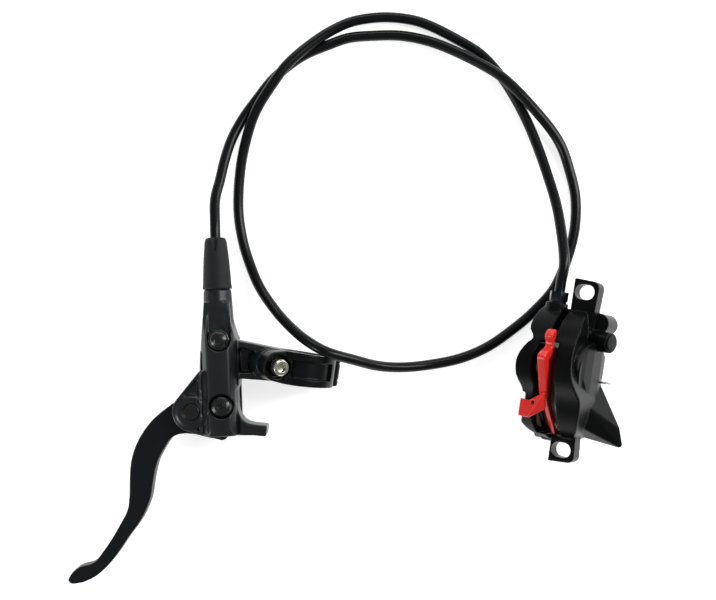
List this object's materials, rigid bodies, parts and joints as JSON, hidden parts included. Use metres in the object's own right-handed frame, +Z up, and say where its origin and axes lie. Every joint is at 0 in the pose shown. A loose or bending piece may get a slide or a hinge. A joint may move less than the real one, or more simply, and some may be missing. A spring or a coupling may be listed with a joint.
{
  "type": "hydraulic disc brake",
  "caption": "Bicycle hydraulic disc brake: clamp-on lever with master cylinder, looped hose and post-mount caliper with red pad spacer.",
  "frame": {"origin": "centre of the handlebar clamp's bore", "axes": "+X from the lever towards the caliper, +Y towards the hose end of the lever, +Z up from the table the brake lies on"},
  "size_m": [0.2607, 0.2739, 0.0476],
  "materials": {
    "cast_body": "satin dark grey paint",
    "plug_screw": "black",
    "seal": "matte",
    "diaphragm": "matte",
    "lid": "matte",
    "small_screw": "satin",
    "clamp": "satin black",
    "stainless": "polished stainless",
    "lever": "satin black anodised",
    "bronze": "plain",
    "axle": "black",
    "rod": "ground",
    "piston_metal": "turned",
    "spring": "wire",
    "rubber_cover": "matte rubber",
    "nut": "dark plated",
    "hose": "satin black hose",
    "caliper_body": "satin black anodised",
    "small_black": "black",
    "caliper_piston": "ceramic-like resin",
    "pad_steel": "plain",
    "lining": "friction compound",
    "spacer": "glossy red plastic"
  },
  "bodies": {
    "base": {"master_body": "cast_body", "bleed_screw": "plug_screw", "bleed_seal": "seal", "port_screw": "plug_screw", "port_seal": "seal", "reservoir_diaphragm": "diaphragm", "reservoir_lid": "lid", "lid_screws": "small_screw", "clamp_band": "clamp", "clamp_hinge_pin": "small_screw", "clamp_bolt": "stainless", "lever_axle": "axle", "axle_circlip": "small_screw", "piston_spring": "spring", "piston_retainer": "rod", "hose_cover": "rubber_cover", "lever_hose_nut": "nut", "lever_olive": "bronze", "hose_inserts": "rod", "hose": "hose", "caliper_inner_half": "caliper_body", "caliper_outer_half": "caliper_body", "body_bolts": "small_black", "crossover_seal": "seal", "inner_piston_seals": "seal", "outer_piston_seals": "seal", "pad_spring": "spring", "pad_pin": "rod", "pad_pin_clip": "spring", "caliper_bleed_screw": "nut", "caliper_bleed_cap": "rubber_cover", "caliper_hose_nut": "nut", "caliper_olive": "bronze"},
    "lever": {"lever_blade": "lever", "lever_bushes": "bronze"},
    "piston": {"master_piston": "piston_metal", "push_rod": "rod", "primary_cup": "seal", "secondary_cup": "seal"},
    "inner_pad": {"inner_pistons": "caliper_piston", "inner_pad_plate": "pad_steel", "inner_pad_lining": "lining"},
    "outer_pad": {"outer_pistons": "caliper_piston", "outer_pad_plate": "pad_steel", "outer_pad_lining": "lining"},
    "spacer": {"pad_spacer": "spacer"}
  },
  "joints": [
    {"name": "lever_pivot", "type": "hinge", "parent": "base", "child": "lever", "pos_m": [-0.05138, -0.01979, 0.0015], "axis": [0, 0, 1], "range_deg": [0, 16]},
    {"name": "piston_slide", "type": "slide", "parent": "base", "child": "piston", "axis": [-0.0384, 0.9993, 0], "range_m": [0, 0.00419], "deforming": ["piston_spring"]},
    {"name": "inner_pad_slide", "type": "slide", "parent": "base", "child": "inner_pad", "axis": [0.8563, -0.1295, 0.5], "range_m": [0, 0.0004026]},
    {"name": "outer_pad_slide", "type": "slide", "parent": "base", "child": "outer_pad", "axis": [-0.8563, 0.1295, -0.5], "range_m": [0, 0.0004026]},
    {"name": "spacer_slide", "type": "slide", "parent": "base", "child": "spacer", "axis": [-0.4944, 0.0748, 0.866], "range_m": [0, 0.05]}
  ],
  "couplings": [
    {"joint": "piston_slide", "follows": "lever_pivot", "m_per_rad": 0.015},
    {"joint": "inner_pad_slide", "follows": "lever_pivot", "m_per_rad": 0.0014418},
    {"joint": "outer_pad_slide", "follows": "lever_pivot", "m_per_rad": 0.0014418}
  ]
}
